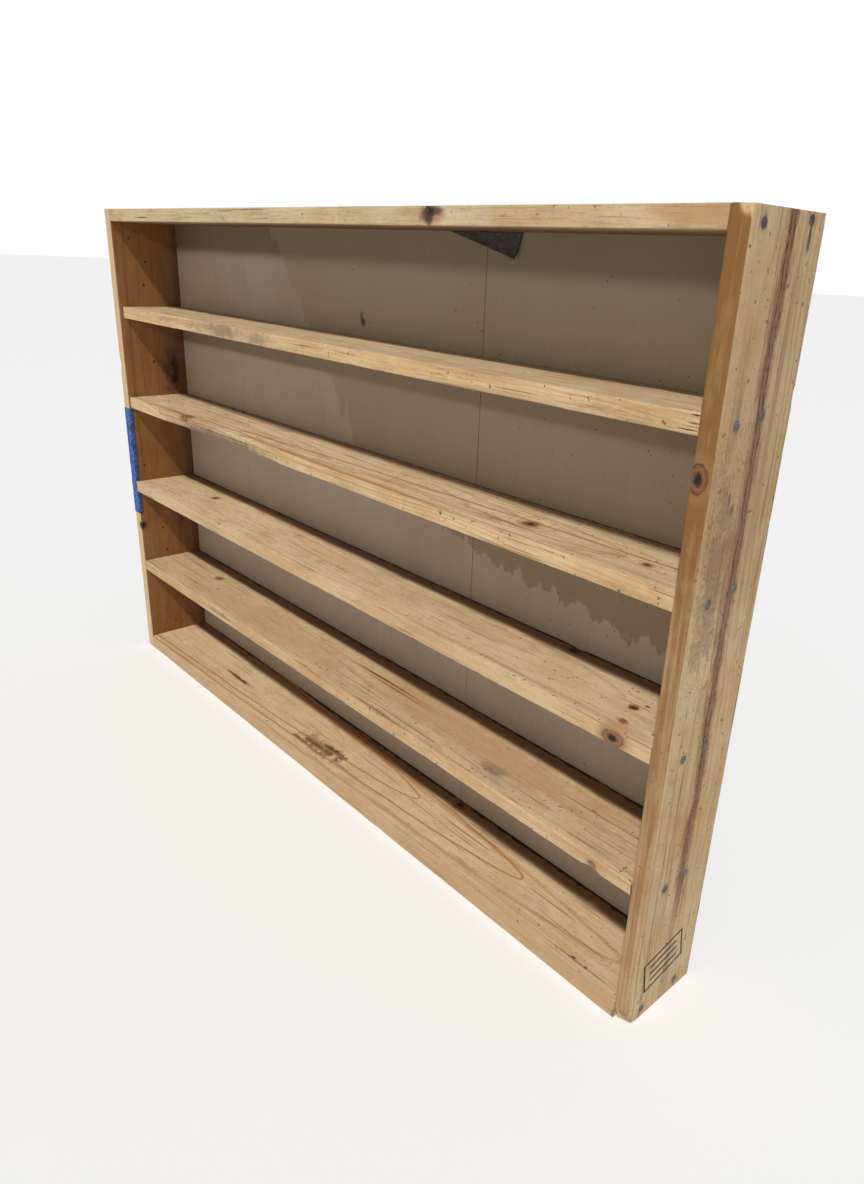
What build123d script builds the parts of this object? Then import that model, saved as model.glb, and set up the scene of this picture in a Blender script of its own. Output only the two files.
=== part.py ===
from build123d import *
import os

# A wall rack of pine boards: two sides, a top, a bottom and four shelves, closed at
# the back by two thin sheets. Millimetres, +Z up, front at low Y, X to the right.
# The origin is the middle of the rack's underside.

RACK_WIDTH = 1220.0
RACK_HEIGHT = 816.0
RACK_DEPTH = 118.0
BOARD_THICKNESS = 19.0
BOTTOM_THICKNESS = 24.0
PANEL_THICKNESS = 3.0
SEAM_X = 215.0
SEAM_GAP = 0.8

# Shelves from the top one down: height of the upper face, and how far the front edge
# stands back from the front of the sides.
SHELF_TOPS = (659.0, 502.0, 345.0, 186.0)
SHELF_SETBACKS = (8.0, 4.0, 0.0, 1.5)

EASED_EDGE = 0.8
WORN_CORNER = 6.0

NAIL_HEAD_RADIUS = 4.2
NAIL_HEAD_THICKNESS = 1.2
NAIL_SHANK_RADIUS = 1.6
NAIL_LENGTH = 50.0
PIN_HEAD_RADIUS = 2.2
PIN_HEAD_THICKNESS = 0.8
PIN_SHANK_RADIUS = 0.7
PIN_LENGTH = 20.0
PIN_SPACING = 190.0

TAPE_THICKNESS = 0.4
TAPE_BOTTOM = 283.0
TAPE_TOP = 482.0
TAPE_WRAP = 6.5

GUSSET_THICKNESS = 1.5
GUSSET_LEFT = 150.0
GUSSET_RIGHT = 270.0
GUSSET_TIP = 263.0
GUSSET_DROP = 28.0

# The tape stands a little proud of the front, so the whole rack is centred with it.
FRONT = -(RACK_DEPTH - TAPE_THICKNESS) / 2
BACK = FRONT + RACK_DEPTH
PANEL_FACE = BACK - PANEL_THICKNESS
OUTER_X = RACK_WIDTH / 2
INNER_X = OUTER_X - BOARD_THICKNESS
TOP_UNDERSIDE = RACK_HEIGHT - BOARD_THICKNESS

# For each board from the top one down: how far behind the front edge its front and
# rear nails sit, and how far they sit above the middle of the board's thickness.
NAIL_BOARDS = ("top_board", "shelf_1", "shelf_2", "shelf_3", "shelf_4", "bottom_board")
NAIL_DEPTHS = ((20, 94), (28, 67), (28, 70), (29, 66), (34, 72), (25, 87))
NAIL_RISES = ((-3, 3), (1, 6), (-1, 5), (-6, -5), (-6, -6), (-1, 0))


def box_between(x, y, z):
    """A box from three (low, high) pairs."""
    size = [high - low for low, high in (x, y, z)]
    centre = [(high + low) / 2 for low, high in (x, y, z)]
    return Pos(*centre) * Box(*size)


def rod_along_x(start, length, radius, y, z):
    """A round rod whose axis runs along X from start."""
    return Pos(start + length / 2, y, z) * Rot(0, 90, 0) * Cylinder(radius, abs(length))


def rod_along_y(start, length, radius, x, z):
    """A round rod whose axis runs along Y from start."""
    return Pos(x, start + length / 2, z) * Rot(90, 0, 0) * Cylinder(radius, abs(length))


def board_level(index):
    """Mid-thickness height of the board that a nail pair holds."""
    if index == 0:
        return RACK_HEIGHT - BOARD_THICKNESS / 2
    if index == len(NAIL_BOARDS) - 1:
        return BOTTOM_THICKNESS / 2
    return SHELF_TOPS[index - 1] - BOARD_THICKNESS / 2


def wood_nail(side, depth, z):
    """One flat-headed nail driven through a side board, its head flush outside."""
    y = FRONT + depth
    outer = side * OUTER_X
    head = rod_along_x(outer, -side * NAIL_HEAD_THICKNESS, NAIL_HEAD_RADIUS, y, z)
    shank = rod_along_x(outer, -side * NAIL_LENGTH, NAIL_SHANK_RADIUS, y, z)
    return head + shank


def nail_pair(side, index):
    """Both nails holding one end of one board."""
    z = board_level(index)
    places = zip(NAIL_DEPTHS[index], NAIL_RISES[index])
    return [wood_nail(side, depth, z + rise) for depth, rise in places]


def panel_pin(x, z):
    """One small pin driven from behind through a back sheet into a shelf."""
    head = rod_along_y(BACK, -PIN_HEAD_THICKNESS, PIN_HEAD_RADIUS, x, z)
    shank = rod_along_y(BACK, -PIN_LENGTH, PIN_SHANK_RADIUS, x, z)
    return head + shank


def pin_places(low_x, high_x):
    """Pin positions along every shelf between two X limits."""
    span = high_x - low_x
    count = max(2, round(span / PIN_SPACING))
    step = span / count
    places = []
    for top in SHELF_TOPS:
        for number in range(count):
            places.append((low_x + step * (number + 0.5), top - BOARD_THICKNESS / 2))
    return places


def ease(board, axis):
    """Breaks the long edges of a board."""
    return fillet(board.edges().filter_by(axis), EASED_EDGE)


def side_board(side):
    """A full-height side with its long edges eased and the lower front corner worn."""
    x = sorted((side * INNER_X, side * OUTER_X))
    board = ease(box_between(x, (FRONT, BACK), (0, RACK_HEIGHT)), Axis.Z)
    worn = board.edges().filter_by(Axis.X).group_by(Axis.Z)[0].group_by(Axis.Y)[0]
    if side > 0:
        board = fillet(worn, WORN_CORNER)
    return board


def cut_all(body, tools):
    """Removes a list of solids from a body."""
    for tool in tools:
        body = body - tool
    return body


inner = (-INNER_X, INNER_X)
left_side = side_board(-1)
right_side = side_board(1)
top_board = ease(box_between(inner, (FRONT, BACK), (TOP_UNDERSIDE, RACK_HEIGHT)), Axis.X)
bottom_board = ease(box_between(inner, (FRONT, BACK), (0, BOTTOM_THICKNESS)), Axis.X)

shelves = []
for top, setback in zip(SHELF_TOPS, SHELF_SETBACKS):
    level = (top - BOARD_THICKNESS, top)
    shelves.append(ease(box_between(inner, (FRONT + setback, PANEL_FACE), level), Axis.X))

panel_z = (BOTTOM_THICKNESS, TOP_UNDERSIDE)
left_panel_x = (-INNER_X, SEAM_X - SEAM_GAP / 2)
right_panel_x = (SEAM_X + SEAM_GAP / 2, INNER_X)
back_panel_left = box_between(left_panel_x, (PANEL_FACE, BACK), panel_z)
back_panel_right = box_between(right_panel_x, (PANEL_FACE, BACK), panel_z)

# The dark three-cornered scrap under the top board, flat against the back sheets.
gusset_outline = Polyline(
    (GUSSET_LEFT, 0),
    (GUSSET_RIGHT, 0),
    (GUSSET_TIP, -GUSSET_DROP),
    close=True,
)
gusset_plane = Plane(origin=(0, PANEL_FACE, TOP_UNDERSIDE), x_dir=(1, 0, 0), z_dir=(0, -1, 0))
seam_gusset = extrude(gusset_plane * make_face(gusset_outline), GUSSET_THICKNESS)

# Painter's tape folded over the front of the left side and onto its inner face.
tape_z = (TAPE_BOTTOM, TAPE_TOP)
tape_front = box_between(
    (-OUTER_X, -INNER_X + TAPE_THICKNESS), (FRONT - TAPE_THICKNESS, FRONT), tape_z
)
tape_inner = box_between(
    (-INNER_X, -INNER_X + TAPE_THICKNESS), (FRONT, FRONT + TAPE_WRAP), tape_z
)
tape_fold = box_between(
    (-OUTER_X, -INNER_X), (FRONT - TAPE_THICKNESS, FRONT + EASED_EDGE), tape_z
)
painter_tape = tape_front + tape_inner + (tape_fold - left_side)
painter_tape = painter_tape - shelves[2]

boards = {
    "top_board": top_board,
    "shelf_1": shelves[0],
    "shelf_2": shelves[1],
    "shelf_3": shelves[2],
    "shelf_4": shelves[3],
    "bottom_board": bottom_board,
}

pieces = {}
for index, name in enumerate(NAIL_BOARDS):
    left_nails = nail_pair(-1, index)
    right_nails = nail_pair(1, index)
    pieces["nails_" + name + "_left"] = left_nails
    pieces["nails_" + name + "_right"] = right_nails
    left_side = cut_all(left_side, left_nails)
    right_side = cut_all(right_side, right_nails)
    boards[name] = cut_all(boards[name], left_nails + right_nails)

left_pins = [panel_pin(x, z) for x, z in pin_places(*left_panel_x)]
right_pins = [panel_pin(x, z) for x, z in pin_places(*right_panel_x)]
pieces["pins_back_panel_left"] = left_pins
pieces["pins_back_panel_right"] = right_pins
back_panel_left = cut_all(back_panel_left, left_pins)
back_panel_right = cut_all(back_panel_right, right_pins)
for name in ("shelf_1", "shelf_2", "shelf_3", "shelf_4"):
    boards[name] = cut_all(boards[name], left_pins + right_pins)

pieces.update(boards)
pieces["left_side"] = left_side
pieces["right_side"] = right_side
pieces["back_panel_left"] = back_panel_left
pieces["back_panel_right"] = back_panel_right
pieces["seam_gusset"] = seam_gusset
pieces["painter_tape"] = painter_tape

os.makedirs("parts", exist_ok=True)
for name, piece in pieces.items():
    if isinstance(piece, list):
        piece = Compound(label=name, children=piece)
    piece.label = name
    export_step(piece, "parts/" + name + ".step")
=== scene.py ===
import math

import bmesh
import bpy
from mathutils import Euler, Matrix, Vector, noise


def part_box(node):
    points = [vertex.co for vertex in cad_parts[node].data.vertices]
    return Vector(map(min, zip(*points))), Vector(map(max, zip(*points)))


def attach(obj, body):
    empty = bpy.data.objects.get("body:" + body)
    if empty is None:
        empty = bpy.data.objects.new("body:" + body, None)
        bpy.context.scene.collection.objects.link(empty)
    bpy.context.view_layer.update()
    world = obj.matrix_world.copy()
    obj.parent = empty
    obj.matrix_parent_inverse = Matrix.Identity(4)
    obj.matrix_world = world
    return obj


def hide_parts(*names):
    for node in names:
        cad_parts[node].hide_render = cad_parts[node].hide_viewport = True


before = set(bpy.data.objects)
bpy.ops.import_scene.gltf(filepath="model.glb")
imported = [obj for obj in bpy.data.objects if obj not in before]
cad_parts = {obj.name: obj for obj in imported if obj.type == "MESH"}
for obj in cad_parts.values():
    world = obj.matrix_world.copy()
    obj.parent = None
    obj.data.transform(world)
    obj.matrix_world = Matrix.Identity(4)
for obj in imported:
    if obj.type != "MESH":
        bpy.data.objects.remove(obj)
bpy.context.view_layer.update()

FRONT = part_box("left_side")[0].y
PANEL_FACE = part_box("back_panel_left")[0].y
SIDE_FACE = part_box("right_side")[1].x
RACK_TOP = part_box("right_side")[1].z

LEVEL_BOARDS = ("top_board", "shelf_1", "shelf_2", "shelf_3", "shelf_4", "bottom_board")

# How finely a board's mesh is cut: round each corner, along each flat, and along its length.
CORNER_STEPS = 4
FLAT_STEPS = 10
STATION_LENGTH = 0.006

EASED_EDGE = 0.0011
KNOCKED_EDGE = 0.0050
ROUGHNESS_DEPTH = 0.00012
# The sides' faces are drawn in a little, so that the nail heads stand just proud of them.
SIDE_SINK = 0.0003
DENT_REACH = 2.5

RING_PITCH = 0.0052
HEART_SWAY = (0.05, 0.045)
FINE_SWAY = 0.0028
KNOT_BULGE = 0.011
SEED_STEP = (1.7, 0.9, 0.4)

PALE_PINE = (0.650, 0.475, 0.272)
WARM_PINE = (0.560, 0.370, 0.176)
LATE_WOOD = (0.285, 0.130, 0.045)
BRIGHT_FIBRE = (0.72, 0.565, 0.355)
# The next colour is laid in patches on upward faces.
UPPER_FACE_PINE = (0.69, 0.560, 0.375)
HAIR_BROWN = (0.13, 0.06, 0.025)
FUZZ_BROWN = (0.22, 0.12, 0.06)
SCRATCH_BROWN = (0.17, 0.095, 0.050)
# The next colour is painted shade for the rear of the shelves' upper faces.
REAR_SHADE_BROWN = (0.135, 0.066, 0.027)
BLACK_BROWN = (0.012, 0.007, 0.004)
KNOT_BROWN = (0.085, 0.030, 0.014)
DIRT = (0.10, 0.065, 0.040)
GREY = (0.25, 0.190, 0.130)
RUST = (0.035, 0.022, 0.017)
ORANGE = (0.40, 0.19, 0.065)
RESIN = (0.19, 0.082, 0.027)
RESIN_LINE = (0.030, 0.012, 0.009)
SCUFF_BROWN = (0.15, 0.080, 0.038)
FLECK_BROWN = (0.09, 0.035, 0.02)
AMBER = (0.215, 0.100, 0.025)
INK = (0.012, 0.009, 0.008)
CLEAN_PINE = (0.60, 0.43, 0.25)
ARCH_BROWN = (0.37, 0.170, 0.055)
NAIL_HALO = (0.10, 0.075, 0.055)

PAINT = (0.345, 0.278, 0.208)
DULL_PAINT = (0.320, 0.250, 0.180)
# The next colour is the painted shadow under the top board and under shelf 1.
SHADOW_BAND_PAINT = (0.155, 0.104, 0.046)
RUN_PAINT = (0.26, 0.185, 0.115)
WET_PAINT = (0.250, 0.192, 0.112)
DAMP_PAINT = (0.205, 0.150, 0.075)
TIDE_BROWN = (0.13, 0.085, 0.045)


def mm(*values):
    """Lengths in millimetres as metres."""
    return tuple(value / 1000 for value in values)


def spot(x, depth, z):
    """A place from its X, its depth behind the front and its height, all in millimetres."""
    return (x / 1000, FRONT + depth / 1000, z / 1000)


# ---------------------------------------------------------------- boards as meshes

def wobble(seed, *place):
    """A smooth value between about -1 and 1 that depends only on place and seed."""
    return noise.noise(Vector((place + (0.0, 0.0, 0.0))[:3]) + Vector((seed * 7.3, seed * 3.1, seed)))


def ring(low, high, radii):
    """Points round a rectangle whose four corners each have their own radius."""
    (u0, v0), (u1, v1) = low, high
    corners = ((u0, v0, 1, 1, 180), (u1, v0, -1, 1, 270), (u1, v1, -1, -1, 0), (u0, v1, 1, -1, 90))
    points = []
    for (u, v, su, sv, start), radius in zip(corners, radii):
        for step in range(CORNER_STEPS + 1):
            angle = math.radians(start + 90 * step / CORNER_STEPS)
            centre = (u + su * radius, v + sv * radius)
            points.append((centre[0] + radius * math.cos(angle), centre[1] + radius * math.sin(angle)))
    outline = []
    count = CORNER_STEPS + 1
    for corner in range(4):
        outline.extend(points[corner * count:(corner + 1) * count])
        start = points[corner * count + count - 1]
        end = points[((corner + 1) * count) % len(points)]
        for step in range(1, FLAT_STEPS):
            share = step / FLAT_STEPS
            outline.append(tuple(a + (b - a) * share for a, b in zip(start, end)))
    return outline


def dented(point, dents, middle):
    """Moves a point towards the board's middle line where a dent is near."""
    for centre, reach, depth in dents:
        away = (point - Vector(centre)).length / reach
        if away < DENT_REACH:
            inward = middle - point
            point = point + inward.normalized() * depth * math.exp(-away * away)
    return point


def make_board(node, seed, wear=None, dents=(), sink=0.0):
    """A worn board in place of a CAD board: rounded arrises, slight unevenness and dents."""
    low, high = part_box(node)
    upright = high.z - low.z > high.x - low.x
    length_axis, v_axis = (2, 0) if upright else (0, 2)
    ends = (low[length_axis], high[length_axis])
    stations = max(8, round((ends[1] - ends[0]) / STATION_LENGTH))
    mesh = bmesh.new()
    rings = []
    for station in range(stations + 1):
        along = ends[0] + (ends[1] - ends[0]) * station / stations
        radii = []
        for corner in range(4):
            radius = EASED_EDGE + EASED_EDGE * max(0.0, wobble(seed + corner, along * 11, corner))
            radius += KNOCKED_EDGE * max(0.0, wobble(seed + 5 * corner, along * 42, corner) - 0.34)
            if wear:
                radius += wear(corner, along)
            radii.append(radius)
        section = ring((low.y, low[v_axis] + sink), (high.y, high[v_axis] - sink), radii)
        row = []
        for u, v in section:
            point = Vector((0.0, u, 0.0))
            point[length_axis] = along
            point[v_axis] = v
            middle = Vector(point)
            middle.y = (low.y + high.y) / 2
            middle[v_axis] = (low[v_axis] + high[v_axis]) / 2
            rough = ROUGHNESS_DEPTH + ROUGHNESS_DEPTH * wobble(seed, *(point * 55))
            rough += 0.00010 * wobble(seed, *(point * 190))
            point = point + (middle - point).normalized() * rough
            point = dented(point, dents, middle)
            row.append(mesh.verts.new(point))
        rings.append(row)
    count = len(rings[0])
    for first, second in zip(rings, rings[1:]):
        for index in range(count):
            nxt = (index + 1) % count
            face = mesh.faces.new((first[index], first[nxt], second[nxt], second[index]))
            face.smooth = True
    for row in (rings[0], rings[-1]):
        cap = mesh.faces.new(row)
        for edge in cap.edges:
            edge.smooth = False
    bmesh.ops.recalc_face_normals(mesh, faces=mesh.faces)
    data = bpy.data.meshes.new("worn_" + node)
    mesh.to_mesh(data)
    mesh.free()
    piece = bpy.data.objects.new("worn_" + node, data)
    bpy.context.scene.collection.objects.link(piece)
    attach(piece, "root")
    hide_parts(node)
    return data


# ---------------------------------------------------------------- material graphs

class Graph:
    """Builds one node material."""

    def __init__(self, name):
        self.material = bpy.data.materials.new(name)
        self.material.use_nodes = True
        self.tree = self.material.node_tree
        self.tree.nodes.clear()
        self.shader = self.node("BsdfPrincipled")
        output = self.node("OutputMaterial")
        self.tree.links.new(self.shader.outputs[0], output.inputs[0])
        self.place = self.node("TexCoord").outputs["Object"]

    def node(self, kind, inputs=None, **settings):
        made = self.tree.nodes.new("ShaderNode" + kind)
        for key, value in settings.items():
            setattr(made, key, value)
        for socket, value in (inputs or {}).items():
            self.feed(made.inputs[socket], value)
        return made

    def feed(self, socket, value):
        if isinstance(value, bpy.types.NodeSocket):
            self.tree.links.new(value, socket)
        elif isinstance(value, tuple) and len(value) == 3 and socket.type == "RGBA":
            socket.default_value = (*value, 1.0)
        else:
            socket.default_value = value

    def math(self, operation, *values, clamp=False):
        made = self.node("Math", dict(enumerate(values)), operation=operation, use_clamp=clamp)
        return made.outputs[0]

    def vector(self, operation, *values):
        made = self.node("VectorMath", dict(enumerate(values)), operation=operation)
        return made.outputs["Value" if operation in ("LENGTH", "DOT_PRODUCT") else "Vector"]

    def noise(self, place, scale, detail=3.0, roughness=0.55, distortion=0.0, colour=False):
        made = self.node("TexNoise", {
            "Vector": place, "Scale": scale, "Detail": detail,
            "Roughness": roughness, "Distortion": distortion,
        })
        return made.outputs[1 if colour else 0]

    def mix(self, factor, first, second, blend="MIX"):
        made = self.node("Mix", {0: factor, 6: first, 7: second}, data_type="RGBA", blend_type=blend)
        return made.outputs[2]

    def remap(self, value, start, end, low=0.0, high=1.0):
        made = self.node("MapRange", {0: value, 1: start, 2: end, 3: low, 4: high},
                         interpolation_type="SMOOTHSTEP")
        return made.outputs[0]

    def ramp(self, value, stops):
        made = self.node("ValToRGB", {0: value})
        points = made.color_ramp.elements
        while len(points) < len(stops):
            points.new(0.5)
        for point, (place, colour) in zip(points, stops):
            point.position = place
            point.color = (*colour, 1.0) if len(colour) == 3 else colour
        return made

    def split(self, vector):
        return self.node("SeparateXYZ", {0: vector}).outputs

    def join(self, x, y, z):
        return self.node("CombineXYZ", {0: x, 1: y, 2: z}).outputs[0]

    def stretched(self, place, scales, detail=3.0, roughness=0.55):
        """Noise with its own scale along each axis."""
        return self.noise(self.vector("MULTIPLY", place, scales), 1.0, detail, roughness)

    def apart(self, first, second):
        """How far one value is from another."""
        return self.math("ABSOLUTE", self.math("SUBTRACT", first, second))

    def paint(self, colour, tint, cover, within):
        """Lays a tint over a colour where both covers allow it."""
        return self.mix(self.math("MULTIPLY", cover, within), colour, tint)

    def from_centre(self, centre, radii):
        """Distance from an ellipsoid's centre, 1 at its surface."""
        scaled = self.vector("DIVIDE", self.vector("SUBTRACT", self.place, centre), radii)
        return self.vector("LENGTH", scaled)

    def facing_up(self):
        """1 on a face that looks up, 0 on upright and lower faces."""
        normal = self.node("NewGeometry").outputs["Normal"]
        return self.remap(self.split(normal)[2], 0.4, 0.9)

    def blob(self, centre, radii, ragged):
        """1 inside an uneven ellipsoid, fading to 0 at its edge."""
        shake = self.noise(self.place, 60.0, 4.0, 0.65)
        away = self.math("ADD", self.from_centre(centre, radii),
                         self.math("MULTIPLY_ADD", shake, 2 * ragged, -ragged))
        return self.remap(away, 1.0, 0.35)

    def bumpy(self, height, strength, distance):
        """Shades the surface as if it rose with a height."""
        bump = self.node("Bump", {"Height": height, "Strength": strength, "Distance": distance})
        self.feed(self.shader.inputs["Normal"], bump.outputs[0])


def stained(graph, colour, marks):
    """Lays local marks over a colour: (centre, radii, colour, strength, ragged)."""
    for centre, radii, tint, strength, ragged in marks:
        cover = graph.math("MULTIPLY", graph.blob(centre, radii, ragged), strength)
        colour = graph.mix(cover, colour, tint)
    return colour


def knotted(graph, colour, knots):
    """Draws knots: a cracked dark heart, brown rings, a thin bark line and an amber halo."""
    for centre, radii, darkness in knots:
        shake = graph.noise(graph.place, 170.0, 5.0, 0.7)
        away = graph.math("MULTIPLY_ADD", shake, 0.7, graph.from_centre(centre, radii))
        away = graph.math("SUBTRACT", away, 0.35)
        ramp = graph.ramp(graph.math("DIVIDE", away, 2.0, clamp=True), (
            (0.0, (*BLACK_BROWN, darkness)),
            (0.15 * darkness, (*BLACK_BROWN, darkness)),
            (0.21, (*KNOT_BROWN, 0.95)),
            (0.36, (0.26, 0.115, 0.045, 0.85)),
            (0.45, (0.17, 0.065, 0.028, 0.9)),
            (0.50, (*BLACK_BROWN, 0.65)),
            (0.55, (0.30, 0.15, 0.055, 0.65)),
            (1.0, (0.42, 0.24, 0.10, 0.0)),
        ))
        waves = graph.math("SINE", graph.math("MULTIPLY", away, 34.0))
        rings = graph.math("MULTIPLY_ADD", waves, 0.5, 0.5)
        body = graph.mix(graph.math("MULTIPLY", rings, 0.35), ramp.outputs["Color"], (0.05, 0.02, 0.01))
        colour = graph.mix(ramp.outputs["Alpha"], colour, body)
    return colour


def rear_shade(graph, colour, ragged, shifted, rear_shading):
    """Painted shade on a shelf's upper face: a brown strip along its rear where the board above shades
    it, and a black, broken line in the gap where it meets the back.
    """
    y = graph.split(graph.place)[1]
    facing = graph.facing_up()
    # Painted shade: a brown strip along the rear of the upper face.
    shaken = graph.math("MULTIPLY_ADD", ragged, 0.012, y)
    strip = graph.remap(shaken, PANEL_FACE - 0.024, PANEL_FACE - 0.013, 0.0, 0.90 * rear_shading)
    colour = graph.paint(colour, REAR_SHADE_BROWN, strip, facing)
    # Painted shade: a black, broken line where the shelf meets the back sheet.
    torn = graph.stretched(shifted, (60.0, 20.0, 20.0), 5.0, 0.7)
    gap = graph.math("MULTIPLY_ADD", torn, 0.016, y)
    gap = graph.remap(gap, PANEL_FACE + 0.0022, PANEL_FACE + 0.0046, 0.0, 0.97 * rear_shading)
    return graph.paint(colour, BLACK_BROWN, gap, facing)


def log_radius(graph, axes, shifted, lazy, heart, drift, knots):
    """Distance from the log's heart, which sways along the board and bulges round each knot."""
    along, across, through = axes
    sway = graph.split(graph.noise(lazy, 1.6, 3.0, 0.5, colour=True))
    aside = graph.math("SUBTRACT", across, heart[0])
    above = graph.math("SUBTRACT", through, heart[1])
    aside = graph.math("MULTIPLY_ADD", sway[0], HEART_SWAY[0], aside)
    above = graph.math("MULTIPLY_ADD", sway[1], HEART_SWAY[1], above)
    above = graph.math("MULTIPLY_ADD", along, drift, above)
    radius = graph.vector("LENGTH", graph.join(aside, above, 0.0))
    for centre, radii, _ in knots:
        near = graph.remap(graph.from_centre(centre, radii), 4.0, 0.6, 0.0, KNOT_BULGE)
        radius = graph.math("ADD", radius, near)
    fine = graph.stretched(shifted, (5.0, 40.0, 40.0))
    return graph.math("MULTIPLY_ADD", fine, FINE_SWAY, radius)


def late_wood(graph, radius, lazy):
    """How dark each growth ring is, rising slowly to its late wood and then dropping."""
    phase = graph.math("FRACT", graph.math("DIVIDE", radius, RING_PITCH))
    levels = ((0.0, 0.06), (0.45, 0.05), (0.74, 0.36), (0.93, 1.0), (1.0, 0.05))
    growth = graph.ramp(phase, [(place, (level,) * 3) for place, level in levels]).outputs[0]
    fade = graph.remap(graph.noise(lazy, 2.3, 2.0), 0.30, 0.72, 0.25, 1.0)
    return graph.math("MULTIPLY", growth, fade)


def aged(graph, colour, shifted, upright):
    """Lays dark hairs, fuzz, scratches, grey grime and specks of dirt over the wood."""
    hairs = graph.stretched(shifted, (7.0, 260.0, 260.0), 2.0, 0.5)
    hairs = graph.remap(hairs, 0.60 if upright else 0.63, 0.70, 0.0, 0.60)
    colour = graph.mix(hairs, colour, HAIR_BROWN)
    fuzz = graph.noise(graph.vector("MULTIPLY", shifted, (3.0, 9.0, 9.0)), 60.0, 3.0, 0.7)
    colour = graph.mix(graph.remap(fuzz, 0.52, 0.70, 0.0, 0.30), colour, FUZZ_BROWN)
    scratch = graph.stretched(shifted, (34.0, 420.0, 420.0), 3.0, 0.6)
    patchy = graph.remap(graph.noise(shifted, 7.0, 3.0), 0.42, 0.62, 0.25, 1.0)
    colour = graph.paint(colour, SCRATCH_BROWN, graph.remap(scratch, 0.60, 0.70, 0.0, 0.50), patchy)
    grime = graph.noise(graph.vector("MULTIPLY", shifted, (2.0, 7.0, 7.0)), 6.0, 6.0, 0.7)
    colour = graph.mix(graph.remap(grime, 0.53, 0.76, 0.0, 0.60), colour, GREY)
    specks = graph.noise(shifted, 170.0, 2.0, 0.5)
    return graph.mix(graph.remap(specks, 0.68, 0.72, 0.0, 0.80), colour, DIRT)


def pine(name, seed, upright, heart, drift, knots, marks, tone, rings, rear_shading, extra=None):
    """Pine cut from a ringed log, so that faces, edges and ends show one consistent grain."""
    graph = Graph(name)
    x, y, z = graph.split(graph.place)
    axes = (z, y, x) if upright else (x, y, z)
    shifted = graph.vector("ADD", graph.join(*axes), tuple(seed * step for step in SEED_STEP))
    lazy = graph.vector("MULTIPLY", shifted, (1.0, 5.0, 5.0))
    late = late_wood(graph, log_radius(graph, axes, shifted, lazy, heart, drift, knots), lazy)
    fibres = graph.stretched(shifted, (14.0, 620.0, 620.0), 3.0, 0.6)
    streaks = graph.stretched(shifted, (2.5, 95.0, 95.0), 4.0, 0.6)
    blotch = graph.noise(shifted, 9.0, 5.0, 0.6)
    pale, warm, dark, bright, upper_pale = (
        tuple(value * shade for value, shade in zip(colour, tone))
        for colour in (PALE_PINE, WARM_PINE, LATE_WOOD, BRIGHT_FIBRE, UPPER_FACE_PINE)
    )
    colour = graph.mix(graph.remap(blotch, 0.35, 0.68), pale, warm)
    # Upward faces are made paler in patches.
    upper_patches = graph.remap(graph.noise(shifted, 14.0, 5.0, 0.65), 0.30, 0.62, 0.25, 0.75)
    colour = graph.paint(colour, upper_pale, graph.facing_up(), upper_patches)
    colour = graph.mix(graph.math("MULTIPLY", late, 0.80 * rings), colour, dark)
    colour = graph.mix(graph.remap(streaks, 0.50, 0.74, 0.0, 0.25 + 0.40 * rings), colour, dark)
    colour = graph.mix(graph.remap(fibres, 0.52, 0.76, 0.0, 0.60), colour, dark)
    colour = graph.mix(graph.remap(fibres, 0.44, 0.22, 0.0, 0.35), colour, bright)
    colour = aged(graph, colour, shifted, upright)
    # Painted shade along the rear of a shelf's upper face, stronger on the lower shelves.
    if rear_shading:
        colour = rear_shade(graph, colour, blotch, shifted, rear_shading)
    colour = stained(graph, colour, marks)
    if extra:
        colour = extra(graph, colour)
    graph.feed(graph.shader.inputs["Base Color"], knotted(graph, colour, knots))
    gloss = graph.remap(graph.noise(shifted, 22.0, 4.0), 0.3, 0.7, 0.50, 0.72)
    graph.feed(graph.shader.inputs["Roughness"], gloss)
    graph.shader.inputs["Specular IOR Level"].default_value = 0.32
    height = graph.math("MULTIPLY_ADD", fibres, 0.55, graph.math("MULTIPLY", late, 0.45))
    height = graph.math("MULTIPLY_ADD", blotch, 0.5, height)
    height = graph.math("MULTIPLY_ADD", streaks, 0.5, height)
    graph.bumpy(height, 0.55, 0.0007)
    return graph.material


# ---------------------------------------------------------------- the boards' own marks

# Each knot: its heart, its radii, and how dark it is.
KNOTS = {
    "shelf_1": [
        (spot(584, 60, 659), mm(7, 9, 6), 0.9),
    ],
    "shelf_2": [
        (spot(373, 48, 502), mm(10, 8, 12), 1.0), (spot(530, 45, 502), mm(5, 4, 6), 1.0),
        (spot(-372, 10, 499), mm(14, 9, 6), 0.5),
    ],
    "shelf_3": [
        (spot(-409, 68, 345), mm(6, 6, 6), 1.0),
        (spot(546, 0, 334), mm(13, 8, 8), 1.0),
    ],
    "shelf_4": [
        (spot(537, 2, 172), mm(5, 4, 4), 1.0), (spot(-420, 70, 186), mm(8, 6, 8), 0.6),
    ],
    "bottom_board": [
        (spot(224, 106, 24), mm(12, 10, 10), 1.0),
    ],
    "right_side": [
        (spot(598, -1, 607), mm(9, 9, 13), 1.0),
    ],
}

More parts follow.
